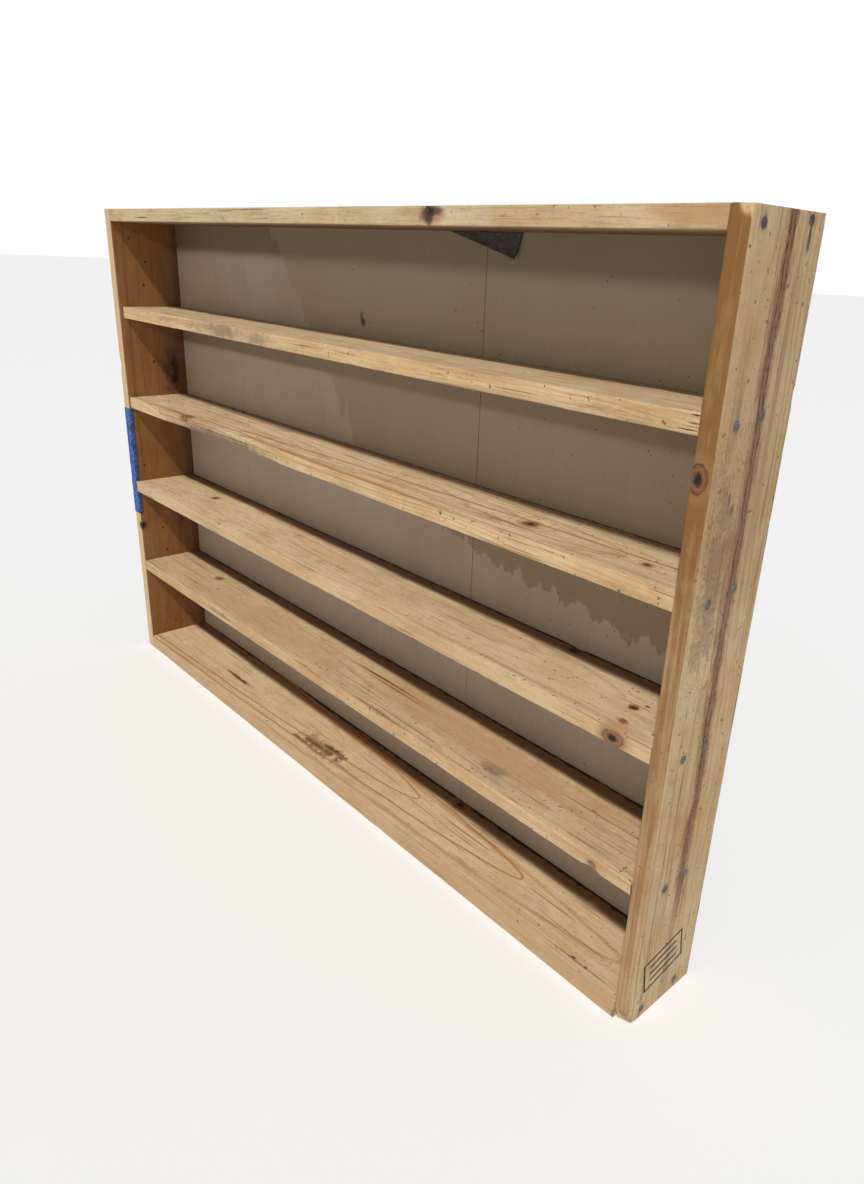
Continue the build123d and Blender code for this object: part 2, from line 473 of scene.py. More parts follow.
# Each mark: its middle, its radii, its colour, its strength, and how ragged its edge is.
MARKS = {
    "top_board": [
        (spot(-460, 0, 803), mm(34, 4, 1.6), BLACK_BROWN, 0.8, 0.25),
        (spot(290, 40, 797), mm(60, 10, 3), BLACK_BROWN, 0.8, 0.4),
        # Painted shade: the top board's underside, darkened brown all along.
        (spot(0, 80, 796), mm(1500, 130, 3), (0.13, 0.060, 0.022), 0.95, 0.1),
        (spot(249, 0, 808), mm(25, 12, 13), (0.36, 0.17, 0.07), 0.7, 0.5),
        (spot(244, 0, 808), mm(15, 12, 15), (0.085, 0.038, 0.030), 1.0, 0.8),
        (spot(257, 0, 811), mm(12, 12, 6), (0.12, 0.055, 0.045), 0.9, 0.7),
        (spot(246, 0, 810), mm(8, 12, 7), BLACK_BROWN, 0.9, 1.2),
        (spot(560, 0, 810), mm(60, 5, 14), ORANGE, 0.5, 0.4),
    ],
    "shelf_1": [
        (spot(-205, 6, 649), mm(180, 8, 24), (0.46, 0.325, 0.190), 0.95, 0.5),
        (spot(-235, 6, 650), mm(85, 6, 16), (0.25, 0.165, 0.090), 0.80, 1.2),
        (spot(-130, 6, 648), mm(40, 6, 16), (0.28, 0.185, 0.105), 0.7, 1.2),
        (spot(577, 8, 644), mm(15, 3, 0.9), BLACK_BROWN, 0.95, 0.2),
        (spot(582, 8, 650), mm(9, 3, 1.0), BLACK_BROWN, 0.8, 0.3),
        (spot(584, 8, 657), mm(8, 3, 0.9), BLACK_BROWN, 0.8, 0.3),
    ],
    "shelf_2": [
        (spot(-262, 4, 486), mm(205, 12, 18), (0.34, 0.235, 0.135), 1.0, 0.45),
        (spot(-275, 4, 488), mm(140, 6, 9), (0.20, 0.125, 0.065), 0.85, 1.2),
        (spot(-250, 4, 494.5), mm(185, 3, 1.3), (0.13, 0.060, 0.030), 0.90, 0.6),
        (spot(-290, 20, 502), mm(120, 1.5, 3), (0.16, 0.075, 0.035), 0.9, 0.3),
        (spot(-180, 33, 502), mm(170, 1.3, 3), (0.20, 0.095, 0.045), 0.9, 0.3),
        (spot(-210, 47, 502), mm(150, 1.2, 3), (0.22, 0.11, 0.05), 0.8, 0.3),
        (spot(-90, 13, 502), mm(200, 2.2, 3), (0.24, 0.12, 0.055), 0.8, 0.3),
        (spot(-330, 60, 502), mm(110, 1.8, 3), (0.18, 0.09, 0.04), 0.8, 0.3),
        (spot(-363, 112, 502), mm(16, 9, 4), BLACK_BROWN, 0.95, 0.3),
        (spot(300, 9, 502), mm(300, 1.0, 3), (0.10, 0.05, 0.025), 0.85, 0.25),
    ],
    "shelf_3": [
        (spot(407, 104, 345), mm(13, 9, 4), BLACK_BROWN, 0.95, 0.3),
        (spot(534, 50, 345), mm(9, 7, 3), KNOT_BROWN, 1.0, 1.1),
        (spot(541, 63, 345), mm(6, 4, 3), BLACK_BROWN, 0.9, 0.9),
        (spot(542, 18, 345), mm(9, 6, 3), (0.16, 0.05, 0.025), 0.95, 1.2),
        (spot(567, 96, 345), mm(9, 11, 4), BLACK_BROWN, 0.9, 0.6),
        (spot(0, 0, 336), mm(2400, 3, 60), (0.40, 0.26, 0.14), 0.28, 0.1),
        (spot(100, 60, 345), mm(260, 30, 3), (0.50, 0.33, 0.19), 0.4, 0.6),
        (spot(546, 10, 341), mm(38, 16, 9), (0.45, 0.24, 0.10), 0.5, 0.4),
    ],
    "shelf_4": [
        (spot(590.5, 2, 176), mm(1.6, 5, 12), BLACK_BROWN, 0.95, 0.3),
        (spot(105, 66, 186), mm(120, 9, 3), (0.46, 0.25, 0.10), 0.6, 0.4),
        (spot(100, 69, 186), mm(105, 2.6, 3), (0.10, 0.040, 0.016), 1.0, 0.35),
        (spot(140, 62, 186), mm(85, 2.2, 3), (0.12, 0.050, 0.020), 1.0, 0.35),
        (spot(358, 32, 186), mm(24, 14, 3), (0.14, 0.11, 0.09), 0.8, 0.7),
        (spot(-200, 40, 186), mm(300, 45, 3), (0.48, 0.32, 0.18), 0.6, 0.7),
        (spot(300, 60, 186), mm(270, 45, 3), (0.44, 0.27, 0.14), 0.6, 0.7),
    ],
    "bottom_board": [
        (spot(590, 0, 6), mm(2.5, 5, 9), BLACK_BROWN, 0.95, 0.5),
        (spot(0, 0, 12), mm(2400, 3, 60), (0.38, 0.24, 0.13), 0.55, 0.1),
        (spot(-30, 33, 24), mm(62, 22, 3), (0.22, 0.135, 0.075), 0.75, 1.3),
        (spot(-55, 22, 24), mm(58, 5, 3), (0.11, 0.065, 0.036), 0.8, 1.3),
        (spot(-30, 33, 24), mm(60, 6, 3), (0.11, 0.065, 0.036), 0.8, 1.4),
        (spot(-5, 43, 24), mm(46, 7, 3), (0.09, 0.055, 0.030), 0.85, 1.4),
        (spot(-314, 47, 24), mm(66, 4.2, 3), (0.15, 0.065, 0.030), 1.0, 0.9),
        (spot(521, 13, 24), mm(5, 2, 3), BLACK_BROWN, 0.9, 0.3),
        (spot(540, 12, 24), mm(3, 2, 3), BLACK_BROWN, 0.9, 0.3),
    ],
    "left_side": [
        (spot(-591, depth, z), mm(4, 2.6, 3.2), BLACK_BROWN, 0.95, 0.3)
        for depth, z in (
            (29, 772), (55, 734), (49, 696), (55, 563), (19, 374),
            (43, 247), (47, 201), (71, 90), (83, 51), (52, 47),
        )
    ] + [
        (spot(-596, 3, 258), mm(14, 14, 12), BLACK_BROWN, 1.0, 0.5),
        (spot(-591, 82, 258), mm(4, 6, 7), BLACK_BROWN, 0.95, 0.7),
        # Painted shade: darker brown down the rear of the left side's inner face.
        (spot(-591, 96, 380), mm(4, 46, 620), (0.14, 0.060, 0.020), 0.45, 0.3),
        (spot(-591, 96, 548), mm(4, 32, 58), (0.07, 0.030, 0.014), 0.85, 0.9),
        (spot(-591, 94, 545), mm(4, 10, 34), BLACK_BROWN, 0.9, 1.0),
        (spot(-591, 100, 400), mm(3, 14, 70), (0.18, 0.08, 0.035), 0.7, 0.4),
        # Painted shade: the left side's inner rear corner beside the back sheet, darkest.
        (spot(-591, 111, 400), mm(3, 15, 700), (0.11, 0.050, 0.020), 0.80, 0.6),
    ],
    "right_side": [
        (spot(610, 95, 796), mm(4, 4, 17), RUST, 0.9, 0.4),
        (spot(610, 117, 97), mm(4, 3, 14), BLACK_BROWN, 0.9, 0.3),
        (spot(610, 36, 586), mm(3, 2.6, 15), (0.10, 0.035, 0.020), 1.0, 0.6),
        (spot(610, 43, 577), mm(3, 5.5, 8), (0.12, 0.045, 0.025), 0.95, 0.8),
        (spot(610, 74, 570), mm(3, 9, 2.2), (0.07, 0.035, 0.02), 0.9, 0.7),
        (spot(610, 46, 540), mm(3, 11, 34), (0.20, 0.12, 0.065), 0.45, 0.9),
        (spot(610, 60, 640), mm(4, 90, 280), (0.30, 0.19, 0.10), 0.32, 0.5),
        (spot(610, 30, 520), mm(4, 22, 120), (0.23, 0.145, 0.08), 0.55, 0.9),
        (spot(592, 0, 747), mm(4, 5, 6), KNOT_BROWN, 0.8, 0.4),
        (spot(592, 0, 731), mm(4, 5, 5), KNOT_BROWN, 0.8, 0.4),
        (spot(604, 0, 10), mm(12, 12, 14), (0.22, 0.13, 0.07), 0.6, 0.7),
    ],
}

def nail_places(side):
    """The middle of each nail head in one side, read from the CAD nails' own boxes."""
    places = []
    for name in LEVEL_BOARDS:
        low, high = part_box(f"nails_{name}_{side}")
        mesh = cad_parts[f"nails_{name}_{side}"].data
        edge = high.x if side == "right" else low.x
        heads = [v.co for v in mesh.vertices if abs(v.co.x - edge) < 1e-5]
        middle = (low.y + high.y) / 2
        for group in ([v for v in heads if v.y < middle], [v for v in heads if v.y >= middle]):
            ys = [v.y for v in group]
            zs = [v.z for v in group]
            places.append((edge, (min(ys) + max(ys)) / 2, (min(zs) + max(zs)) / 2))
    return places


for side_name in ("left", "right"):
    for place in nail_places(side_name):
        MARKS[side_name + "_side"].append((place, mm(4, 7.5, 9), NAIL_HALO, 0.55, 0.5))


def beside_streak(graph):
    """How far a place on the right side is behind its jagged, wandering resin streak."""
    _, y, z = graph.split(graph.place)
    slow = graph.noise(graph.join(0.0, 0.0, z), 5.0, 2.0)
    fine = graph.noise(graph.join(0.0, 3.0, z), 30.0, 3.0)
    line = graph.math("MULTIPLY_ADD", slow, -0.022, FRONT + 0.077)
    line = graph.math("MULTIPLY_ADD", fine, -0.004, line)
    aside = graph.math("SUBTRACT", graph.math("SUBTRACT", y, line), 0.005)
    jag = graph.stretched(graph.place, (60.0, 420.0, 110.0), 4.0, 0.7)
    return graph.math("MULTIPLY_ADD", jag, 0.010, aside)


def resin_streak(graph, colour, outer, aside):
    """A long ragged resin streak with two broken dark lines in it, faint at the foot."""
    z = graph.split(graph.place)[2]
    worn_out = graph.remap(z, 0.10, 0.17, 0.30, 1.0)
    ragged = graph.stretched(graph.place, (60.0, 260.0, 34.0), 6.0, 0.8)
    wide = graph.math("MULTIPLY_ADD", ragged, 0.034, -0.0070)
    halo = graph.math("DIVIDE", graph.math("ABSOLUTE", aside), wide)
    halo = graph.math("MULTIPLY", graph.remap(halo, 1.25, 0.35, 0.0, 0.86), worn_out)
    colour = graph.paint(colour, RESIN, halo, outer)
    for offset, width, drift in ((-0.0020, 0.0009, 5.0), (0.0036, 0.0007, 11.0)):
        wander = graph.noise(graph.join(0.0, drift, z), 26.0, 5.0, 0.7)
        own = graph.math("MULTIPLY_ADD", wander, -0.011, offset + 0.0055)
        thin = graph.remap(graph.apart(aside, own), width * 1.5, width * 0.3, 0.0, 0.95)
        broken = graph.math("MULTIPLY", thin, graph.remap(ragged, 0.36, 0.52))
        broken = graph.math("MULTIPLY", broken, worn_out)
        colour = graph.paint(colour, RESIN_LINE, broken, outer)
    return colour


def scuffed_face(graph, colour, outer, aside):
    """Scuffs, thickest at mid height near the front, and dark flecks along the streak."""
    scuffs = graph.stretched(graph.place, (300.0, 800.0, 210.0), 3.0, 0.7)
    where = graph.math("MAXIMUM", graph.blob(spot(610, 30, 540), mm(6, 46, 200), 0.8), 0.15)
    scuffs = graph.math("MULTIPLY", where, graph.remap(scuffs, 0.50, 0.64, 0.0, 0.8))
    colour = graph.paint(colour, SCUFF_BROWN, scuffs, outer)
    flecks = graph.stretched(graph.place, (200.0, 330.0, 120.0), 3.0, 0.6)
    near = graph.remap(graph.math("ABSOLUTE", aside), 0.020, 0.002, 0.0, 0.85)
    flecks = graph.math("MULTIPLY", graph.remap(flecks, 0.60, 0.68), near)
    return graph.paint(colour, FLECK_BROWN, flecks, outer)


def amber_edge(graph, colour):
    """The right side's front edge is cloudy amber, deepest at the top."""
    _, y, z = graph.split(graph.place)
    front = graph.remap(y, FRONT + 0.0022, FRONT + 0.0008)
    level = graph.math("MULTIPLY_ADD", graph.noise(graph.place, 16.0, 4.0, 0.6), 0.30, z)
    amber = graph.math("ADD", graph.remap(level, 0.62, 0.78, 0.0, 0.42),
                       graph.remap(level, 0.20, 0.50, 0.34, 0.72))
    grained = graph.stretched(graph.place, (210.0, 1.0, 5.0))
    amber = graph.math("MULTIPLY", amber, graph.remap(grained, 0.35, 0.60, 0.80, 1.15))
    cloudy = graph.stretched(graph.place, (90.0, 1.0, 24.0), 5.0, 0.65)
    cloudy = graph.remap(cloudy, 0.36, 0.60, 0.86, 1.12)
    amber = graph.math("MULTIPLY", amber, cloudy, clamp=True)
    return graph.paint(colour, AMBER, front, amber)


def inked_frame(graph, colour, outer):
    """A plain leaning inked frame with three bars in it, near the foot of the outer face."""
    _, y, z = graph.split(graph.place)
    lean = math.radians(10)
    half_width, half_height, half_bar = 0.034, 0.020, 0.024
    depth = graph.math("SUBTRACT", y, FRONT + 0.056)
    rise = graph.math("SUBTRACT", z, 0.060)
    s = graph.math("ADD", graph.math("MULTIPLY", depth, math.cos(lean)),
                   graph.math("MULTIPLY", rise, math.sin(lean)))
    t = graph.math("SUBTRACT", graph.math("MULTIPLY", rise, math.cos(lean)),
                   graph.math("MULTIPLY", depth, math.sin(lean)))
    s = graph.math("ABSOLUTE", s)
    edge_s = graph.math("SUBTRACT", s, half_width)
    edge_t = graph.math("SUBTRACT", graph.math("ABSOLUTE", t), half_height)
    edge = graph.math("ABSOLUTE", graph.math("MAXIMUM", edge_s, edge_t))
    ink = graph.remap(edge, 0.0018, 0.0011)
    for level in (-0.010, 0.0, 0.010):
        bar = graph.math("MAXIMUM", graph.math("SUBTRACT", graph.apart(t, level), 0.0014),
                         graph.math("SUBTRACT", s, half_bar))
        ink = graph.math("MAXIMUM", ink, graph.remap(bar, 0.0004, -0.0002))
    patchy = graph.remap(graph.noise(graph.place, 240.0, 3.0), 0.26, 0.46, 0.70, 1.0)
    return graph.paint(colour, INK, graph.math("MULTIPLY", ink, patchy), outer)


def right_side_extra(graph, colour):
    """The right side's streak, scuffs and inked frame outside, and its amber front edge."""
    outer = graph.remap(graph.split(graph.place)[0], SIDE_FACE - 0.004, SIDE_FACE - 0.002)
    aside = beside_streak(graph)
    colour = resin_streak(graph, colour, outer, aside)
    colour = scuffed_face(graph, colour, outer, aside)
    colour = amber_edge(graph, colour)
    return inked_frame(graph, colour, outer)


def left_side_extra(graph, colour):
    """The left side's front edge is pale, clean wood."""
    y = graph.split(graph.place)[1]
    front = graph.remap(y, FRONT + 0.0024, FRONT + 0.0008, 0.0, 0.85)
    return graph.mix(front, colour, CLEAN_PINE)


def arches(graph, colour, curves):
    """Long pointed grain arches on an upper face: apex x, mid depth, curl, half width, strength."""
    x, y, _ = graph.split(graph.place)
    sway = graph.stretched(graph.place, (9.0, 30.0, 1.0))
    upward = graph.facing_up()
    for apex, depth, curl, half, strength in curves:
        off = graph.math("SUBTRACT", y, FRONT + depth - 0.004)
        off = graph.math("MULTIPLY_ADD", sway, -0.008, off)
        square = graph.math("MULTIPLY", off, off)
        bend = graph.math("MULTIPLY_ADD", square, curl, graph.math("SUBTRACT", x, apex))
        lean = graph.math("MULTIPLY", off, 2.0 * curl)
        steep = graph.math("SQRT", graph.math("MULTIPLY_ADD", lean, lean, 1.0))
        away = graph.math("ABSOLUTE", graph.math("DIVIDE", bend, steep))
        line = graph.remap(away, half * 1.5, half * 0.2, 0.0, strength)
        colour = graph.paint(colour, ARCH_BROWN, line, upward)
    return colour


def bottom_arches(graph, colour):
    """Four arches along the bottom board that point right, two of them bold."""
    return arches(graph, colour, (
        (0.173, 0.068, 230.0, 0.0016, 0.85), (0.391, 0.062, 260.0, 0.0018, 0.85),
        (0.560, 0.050, 300.0, 0.0030, 0.45), (-0.020, 0.070, 200.0, 0.0010, 0.4),
    ))


def shelf_2_arches(graph, colour):
    """Three nested arches that point left over the bark edge, and two further right that point right."""
    return arches(graph, colour, (
        (-0.225, 0.026, -700.0, 0.0016, 0.9), (-0.175, 0.027, -700.0, 0.0011, 0.7),
        (-0.120, 0.028, -700.0, 0.0008, 0.6),
        (0.500, 0.052, 160.0, 0.0012, 0.6), (0.440, 0.052, 180.0, 0.0008, 0.5),
    ))


# Each board: its seed, where the log's heart lies beside it, how it drifts from that heart along
# its length, its tone, how strongly its rings show, and how strong the painted shade along its rear is.
GRAINS = {
    "top_board": (1, (0.02, 0.72), 0.010, (0.90, 0.96, 1.04), 0.25, 0.0),
    "shelf_1": (2, (-0.01, 0.585), 0.016, (0.99, 0.97, 0.95), 0.40, 0.35),
    "shelf_2": (3, (0.00, 0.440), 0.030, (1.02, 1.02, 1.03), 0.90, 0.7),
    "shelf_3": (4, (0.02, 0.255), 0.012, (1.0, 0.99, 1.0), 0.45, 1.0),
    "shelf_4": (5, (-0.02, 0.110), 0.014, (0.90, 0.86, 0.82), 0.45, 1.0),
    "bottom_board": (6, (0.00, -0.030), 0.034, (0.98, 0.95, 0.92), 0.25, 1.0),
    # The left side's tone is painted shade: darkened and reddened to match its shaded inner face, which
    # darkens its outer face too; left_side_extra gives its front edge clean pine again.
    "left_side": (7, (0.02, -0.69), 0.020, (0.40, 0.255, 0.130), 0.5, 0.0),
    "right_side": (8, (-0.01, 0.49), 0.016, (0.90, 0.89, 0.86), 0.8, 0.0),
}


def shelf_2_wane(corner, along):
    """The lower front arris of shelf 2 follows the log's outside for part of its length."""
    if corner != 0:
        return 0.0
    middle, half_length = -0.26, 0.19
    inside = max(0.0, 1.0 - abs((along - middle) / half_length) ** 3)
    return inside * (0.0070 + 0.0022 * wobble(31, along * 30))


def right_side_wear(corner, along):
    """The right side's front arrises are knocked about at the top and rounded at the foot."""
    if corner not in (0, 3):
        return 0.0
    foot = max(0.0, 1.0 - along / 0.020)
    head = max(0.0, 1.0 - (RACK_TOP - along) / 0.016)
    return 0.004 * foot + 0.0025 * head * (1.0 + wobble(33, along * 220, corner))


WEAR = {"shelf_2": shelf_2_wane, "right_side": right_side_wear}

# Each dent: its middle, its reach, and how deep it goes.
DENTS = {
    "right_side": [
        (spot(591, 0, 747), 0.0035, 0.0018), (spot(591, 0, 731), 0.003, 0.0016),
        (spot(606, 0, 816), 0.007, 0.004), (spot(601, 0, -1), 0.012, 0.006),
        (spot(610, 0, 0), 0.010, 0.005), (spot(610, 41, 577), 0.005, 0.0006),
    ],
    "shelf_3": [(spot(407, 115, 345), 0.009, 0.003), (spot(560, 0, 345), 0.006, 0.002)],
    "shelf_2": [(spot(-363, 115, 502), 0.010, 0.003), (spot(-180, 4, 483), 0.010, 0.002)],
    "shelf_4": [(spot(537, 1, 168), 0.008, 0.004), (spot(-100, 1, 186), 0.006, 0.0015)],
    "top_board": [(spot(247, 0, 809), 0.010, 0.0012), (spot(545, 0, 797), 0.007, 0.0025)],
    "left_side": [(spot(-593, 3, 258), 0.008, 0.0035), (spot(-610, 0, 560), 0.008, 0.0015)],
    "bottom_board": [(spot(300, 0, 24), 0.007, 0.0015), (spot(224, 118, 24), 0.012, 0.002)],
}

EXTRAS = {"right_side": right_side_extra, "left_side": left_side_extra,
          "bottom_board": bottom_arches, "shelf_2": shelf_2_arches}

for board_name, (seed, heart, drift, tone, rings, rear_shading) in GRAINS.items():
    upright = board_name.endswith("_side")
    board_mesh = make_board(
        board_name, seed, WEAR.get(board_name), DENTS.get(board_name, ()),
        sink=SIDE_SINK if upright else 0.0,
    )
    board_mesh.materials.append(pine(
        "pine_" + board_name, seed, upright, heart, drift, KNOTS.get(board_name, ()),
        MARKS.get(board_name, ()), tone, rings, rear_shading, EXTRAS.get(board_name),
    ))


# ---------------------------------------------------------------- back sheets

def damp_area(graph, colour):
    """A darker wet area above shelf 2, its ragged left edge slanting down to the right."""
    x, _, z = graph.split(graph.place)
    jag = graph.stretched(graph.place, (55.0, 1.0, 11.0), 4.0, 0.6)
    slope = graph.noise(graph.join(0.0, 0.0, z), 14.0, 3.0)
    edge = graph.math("MULTIPLY_ADD", z, -0.80, 0.270)
    edge = graph.math("MULTIPLY_ADD", slope, 0.07, edge)
    edge = graph.math("MULTIPLY_ADD", jag, 0.12, edge)
    wet = graph.remap(graph.math("SUBTRACT", x, edge), 0.0, 0.006)
    wet = graph.math("MULTIPLY", wet, graph.remap(z, 0.488, 0.494))
    return graph.paint(colour, WET_PAINT, wet, 0.65)


def drip_fringe(graph, colour):
    """Damp that has run down from shelf 2 on the right, with a brown tide line."""
    x, _, z = graph.split(graph.place)
    under_shelf = graph.remap(z, 0.488, 0.480)
    to_the_right = graph.remap(x, 0.12, 0.19)
    teeth = graph.stretched(graph.place, (52.0, 1.0, 9.0), 4.0, 0.55)
    fringe = graph.math("MULTIPLY_ADD", x, -0.147, 0.492)
    fringe = graph.math("MULTIPLY_ADD", teeth, -0.080, fringe)
    drips = graph.remap(graph.math("SUBTRACT", z, fringe), 0.0, 0.004)
    drips = graph.math("MULTIPLY", graph.math("MULTIPLY", drips, under_shelf), to_the_right)
    colour = graph.paint(colour, DAMP_PAINT, drips, 0.85)
    tide = graph.remap(graph.apart(z, fringe), 0.003, 0.0)
    tide = graph.math("MULTIPLY", graph.math("MULTIPLY", tide, to_the_right), under_shelf)
    return graph.paint(colour, TIDE_BROWN, tide, 0.6)


def painted_sheet():
    """Flat taupe paint with water stains, drips, faint runs and fly specks, painted shadow bands under
    the top board and shelf 1, bare board behind.
    """
    graph = Graph("painted_sheet_paint")
    x, y, z = graph.split(graph.place)
    broad = graph.noise(graph.place, 6.0, 4.0, 0.6)
    colour = graph.mix(graph.remap(broad, 0.35, 0.7), PAINT, DULL_PAINT)
    # Painted shadow: darker olive bands on the sheets just under the top board and under shelf 1.
    shelf_1_shadow = graph.math("MULTIPLY", graph.remap(z, 0.596, 0.602, 0.0, 0.60),
                               graph.remap(z, 0.66, 0.64))
    shadow_band = graph.math("ADD", graph.remap(z, 0.752, 0.764, 0.0, 0.90), shelf_1_shadow)
    colour = graph.mix(shadow_band, colour, SHADOW_BAND_PAINT)
    runs = graph.stretched(graph.place, (90.0, 90.0, 2.5), 4.0, 0.6)
    colour = graph.mix(graph.remap(runs, 0.5, 0.8, 0.0, 0.4), colour, RUN_PAINT)
    colour = drip_fringe(graph, damp_area(graph, colour))
    specks = graph.noise(graph.place, 210.0, 1.0, 0.5)
    specks = graph.math("SUBTRACT", specks, graph.remap(x, 0.05, 0.45, 0.765, 0.735))
    colour = graph.mix(graph.remap(specks, 0.0, 0.03, 0.0, 0.8), colour, (0.05, 0.03, 0.02))
    colour = stained(graph, colour, [
        ((-0.026, PANEL_FACE, 0.679), mm(7, 4, 9), BLACK_BROWN, 0.9, 0.3),
        ((-0.030, PANEL_FACE, 0.687), mm(4, 4, 8), BLACK_BROWN, 0.7, 0.3),
        ((0.215, PANEL_FACE, 0.50), mm(1.4, 4, 330), (0.14, 0.10, 0.065), 0.3, 0.2),
    ])
    back = graph.remap(y, PANEL_FACE + 0.001, PANEL_FACE + 0.0022)
    pressed = graph.noise(graph.place, 260.0, 4.0, 0.7)
    board = graph.mix(pressed, (0.16, 0.085, 0.04), (0.26, 0.15, 0.075))
    graph.feed(graph.shader.inputs["Base Color"], graph.mix(back, colour, board))
    graph.feed(graph.shader.inputs["Roughness"], graph.remap(broad, 0.3, 0.7, 0.55, 0.72))
    grain = graph.noise(graph.place, 420.0, 3.0, 0.6)
    graph.bumpy(graph.math("MULTIPLY_ADD", runs, 0.4, graph.math("MULTIPLY", grain, 0.5)), 0.35, 0.0004)
    return graph.material


def dress(node, material):
    """Gives a shown CAD node its material."""
    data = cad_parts[node].data
    data.materials.clear()
    data.materials.append(material)


sheet_paint = painted_sheet()
for sheet_name in ("back_panel_left", "back_panel_right"):
    dress(sheet_name, sheet_paint)


# ---------------------------------------------------------------- nails and pins

def nail_steel():
    """Dull grey steel with brown rust blooms and hammer marks."""
    graph = Graph("nail_steel_worn")
    rust = graph.noise(graph.place, 420.0, 4.0, 0.7)
    patch = graph.noise(graph.place, 60.0, 2.0)
    colour = graph.mix(graph.remap(patch, 0.35, 0.65), (0.075, 0.078, 0.085), (0.17, 0.175, 0.190))
    colour = graph.mix(graph.remap(rust, 0.50, 0.68, 0.0, 0.85), colour, (0.085, 0.050, 0.035))
    graph.feed(graph.shader.inputs["Base Color"], colour)
    graph.shader.inputs["Metallic"].default_value = 0.6
    graph.feed(graph.shader.inputs["Roughness"], graph.remap(rust, 0.3, 0.7, 0.38, 0.7))
    graph.bumpy(rust, 0.6, 0.0005)
    return graph.material


steel = nail_steel()
for node_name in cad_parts:
    if node_name.startswith(("nails_", "pins_")):
        dress(node_name, steel)


# ---------------------------------------------------------------- scrap and tape

def finish_piece(name, mesh, material, node, thickness):
    """Turns a bmesh sheet into a thin shown piece that stands for a CAD node."""
    data = bpy.data.meshes.new(name)
    for face in mesh.faces:
        face.smooth = True
    mesh.to_mesh(data)
    mesh.free()
    data.materials.append(material)
    piece = bpy.data.objects.new(name, data)
    bpy.context.scene.collection.objects.link(piece)
    solid = piece.modifiers.new("thickness", "SOLIDIFY")
    solid.thickness = thickness
    solid.offset = 0.0
    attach(piece, "root")
    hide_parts(node)


def scrap_material():
    """Dull black-brown sheet, scuffed grey in patches."""
    graph = Graph("dark_scrap_surface")
    scuff = graph.noise(graph.vector("MULTIPLY", graph.place, (1.0, 1.0, 2.2)), 75.0, 5.0, 0.7, 1.5)
    colour = graph.mix(graph.remap(scuff, 0.40, 0.62), (0.016, 0.013, 0.012), (0.060, 0.047, 0.042))
    colour = graph.mix(graph.remap(scuff, 0.62, 0.72, 0.0, 0.7), colour, (0.17, 0.145, 0.13))
    graph.feed(graph.shader.inputs["Base Color"], colour)
    graph.feed(graph.shader.inputs["Roughness"], graph.remap(scuff, 0.3, 0.7, 0.45, 0.75))
    graph.bumpy(scuff, 0.7, 0.0012)
    return graph.material


def make_scrap():
    """A thin triangular scrap, its lower tip curling away from the back sheet."""
    low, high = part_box("seam_gusset")
    tip_x = high.x - 0.007
    corners = (Vector((low.x, 0, high.z)), Vector((high.x, 0, high.z)), Vector((tip_x, 0, low.z)))
    steps, flat_gap = 26, 0.0012
    mesh = bmesh.new()
    rows = []
    for i in range(steps + 1):
        row = []
        for j in range(steps + 1 - i):
            a, b = i / steps, j / steps
            point = corners[0] * (1 - a - b) + corners[1] * a + corners[2] * b
            curl = 0.0045 * b * b + 0.0012 * wobble(41, point.x * 45, point.z * 60)
            point.y = high.y - flat_gap - max(0.0, curl)
            row.append(mesh.verts.new(point))
        rows.append(row)
    for i in range(steps):
        for j in range(steps - i):
            mesh.faces.new((rows[i][j], rows[i + 1][j], rows[i][j + 1]))
            if j < steps - i - 1:
                mesh.faces.new((rows[i + 1][j], rows[i + 1][j + 1], rows[i][j + 1]))
    finish_piece("curled_scrap", mesh, scrap_material(), "seam_gusset", 0.0014)


def tape_material():
    """Blue crepe paper, crushed into folds, with painted shade in its hollows and darkest in its folds.
    """
    graph = Graph("blue_tape_crepe")
    crepe = graph.noise(graph.vector("MULTIPLY", graph.place, (700.0, 700.0, 1600.0)), 1.0, 2.0)
    crush = graph.noise(graph.vector("MULTIPLY", graph.place, (1.0, 1.0, 0.5)), 230.0, 4.0, 0.75, 1.5)
    # Painted shade: the colour follows the crush noise that also raises the bump, darker in its hollows
    # and darkest in the folds.
    colour = graph.mix(graph.remap(crush, 0.35, 0.65), (0.015, 0.070, 0.32), (0.045, 0.155, 0.52))
    colour = graph.mix(graph.remap(crush, 0.53, 0.48, 0.0, 0.92), colour, (0.004, 0.016, 0.10))
    graph.feed(graph.shader.inputs["Base Color"], colour)
    graph.shader.inputs["Roughness"].default_value = 0.58
    height = graph.math("MULTIPLY_ADD", crush, 1.0, graph.math("MULTIPLY", crepe, 0.25))
    graph.bumpy(height, 0.8, 0.0008)
    return graph.material


